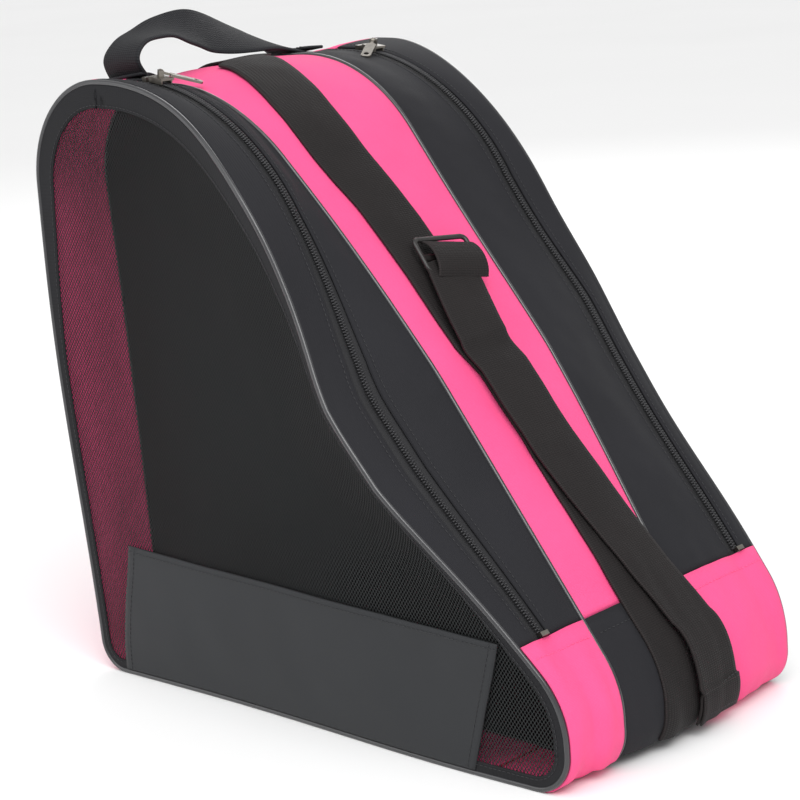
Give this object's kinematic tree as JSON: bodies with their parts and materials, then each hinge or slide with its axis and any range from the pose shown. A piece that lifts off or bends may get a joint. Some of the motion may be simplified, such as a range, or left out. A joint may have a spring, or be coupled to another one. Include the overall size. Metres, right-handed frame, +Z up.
{
  "type": "skate bag",
  "caption": "Triangular three-pocket skate bag with mesh sides, zipped outer pockets, carry handle and adjustable shoulder strap",
  "frame": {"origin": "on the floor under the middle of the bag's box", "axes": "+X points to the toe, +Y to the far pocket, +Z up; the mesh side with the most detail faces -Y"},
  "size_m": [0.4102, 0.2406, 0.4215],
  "materials": {
    "side_mesh": "woven polyester mesh, matt black",
    "lower_cloth": "smooth coated polyester, matt charcoal",
    "cloth_black": "oxford polyester weave, matt black",
    "cloth_pink": "oxford polyester weave, bright pink",
    "lining_black": "thin polyester lining, black",
    "piping": "smooth vinyl piping, satin black",
    "zip_tape": "fine woven tape, black",
    "zip_teeth": "moulded nylon coil, black",
    "zip_metal": "plated zinc, worn",
    "strap_webbing": "ribbed polypropylene webbing, warm black",
    "handle_webbing": "ribbed polypropylene webbing, black",
    "buckle_plastic": "moulded acetal, black",
    "stiffener": "grey polyethylene board"
  },
  "bodies": {
    "bag": {"centre_base_board": "stiffener", "centre_base_panel": "cloth_black", "centre_front_gusset": "cloth_pink", "centre_rear_gusset": "cloth_pink", "centre_toe_panel": "cloth_black", "centre_zip_chain": "zip_teeth", "centre_zip_stops": "zip_metal", "centre_zip_tape": "zip_tape", "far_base_board": "stiffener", "far_base_panel": "cloth_pink", "far_divider": "lining_black", "far_edge_piping": "piping", "far_front_gusset": "cloth_black", "far_lower_panel": "lower_cloth", "far_mesh_panel": "side_mesh", "far_rear_gusset": "cloth_pink", "far_seam_piping": "piping", "far_toe_panel": "cloth_pink", "far_zip_chain": "zip_teeth", "far_zip_facing": "cloth_black", "far_zip_stops": "zip_metal", "far_zip_tape": "zip_tape", "handle_far_end": "handle_webbing", "handle_near_end": "handle_webbing", "near_base_board": "stiffener", "near_base_panel": "cloth_pink", "near_divider": "lining_black", "near_edge_piping": "piping", "near_front_gusset": "cloth_black", "near_lower_panel": "lower_cloth", "near_mesh_panel": "side_mesh", "near_rear_gusset": "cloth_pink", "near_seam_piping": "piping", "near_toe_panel": "cloth_pink", "near_zip_chain": "zip_teeth", "near_zip_facing": "cloth_black", "near_zip_stops": "zip_metal", "near_zip_tape": "zip_tape", "shoulder_strap": "strap_webbing", "strap_front_anchor": "strap_webbing", "strap_rear_anchor": "strap_webbing"},
    "near_slider": {"near_zip_slider": "zip_metal"},
    "near_pull": {"near_zip_pull": "zip_metal"},
    "far_slider": {"far_zip_slider": "zip_metal"},
    "far_pull": {"far_zip_pull": "zip_metal"},
    "centre_slider": {"centre_zip_slider": "zip_metal"},
    "centre_pull": {"centre_zip_pull": "zip_metal"},
    "adjuster": {"strap_adjuster": "buckle_plastic", "strap_bar_loop": "strap_webbing", "shoulder_strap_return": "strap_webbing"},
    "handle": {"carry_handle": "handle_webbing", "handle_near_leg": "handle_webbing", "handle_far_leg": "handle_webbing"}
  },
  "joints": [
    {"name": "near_zip_run", "type": "hinge", "parent": "bag", "child": "near_slider", "pos_m": [-0.12504, -0.091, 0.2231], "axis": [0, 1, 0], "range_deg": [0, 47]},
    {"name": "near_pull_flip", "type": "hinge", "parent": "near_slider", "child": "near_pull", "pos_m": [-0.10202, -0.091, 0.38174], "axis": [-0.8393, 0.5299, 0.1217], "range_deg": [-165, 0]},
    {"name": "far_zip_run", "type": "hinge", "parent": "bag", "child": "far_slider", "pos_m": [-0.12504, 0.091, 0.2231], "axis": [0, 1, 0], "range_deg": [0, 47]},
    {"name": "far_pull_flip", "type": "hinge", "parent": "far_slider", "child": "far_pull", "pos_m": [-0.10202, 0.091, 0.38174], "axis": [0.8393, 0.5299, -0.1217], "range_deg": [-165, 0]},
    {"name": "centre_zip_run", "type": "slide", "parent": "bag", "child": "centre_slider", "axis": [0.0431, 0, -0.9991], "range_m": [0, 0.235]},
    {"name": "centre_pull_flip", "type": "hinge", "parent": "centre_slider", "child": "centre_pull", "pos_m": [-0.20326, -0.01, 0.28871], "axis": [0, -1, 0], "range_deg": [-170, 0]},
    {"name": "strap_adjust", "type": "slide", "parent": "bag", "child": "adjuster", "axis": [0.6555, 0, -0.7552], "range_m": [-0.08, 0.03], "deforming": ["shoulder_strap_return"]},
    {"name": "handle_fold", "type": "hinge", "parent": "bag", "child": "handle", "pos_m": [-0.146, 0, 0.379], "axis": [0, 1, 0], "range_deg": [-45, 45], "deforming": ["handle_near_leg", "handle_far_leg"]}
  ]
}
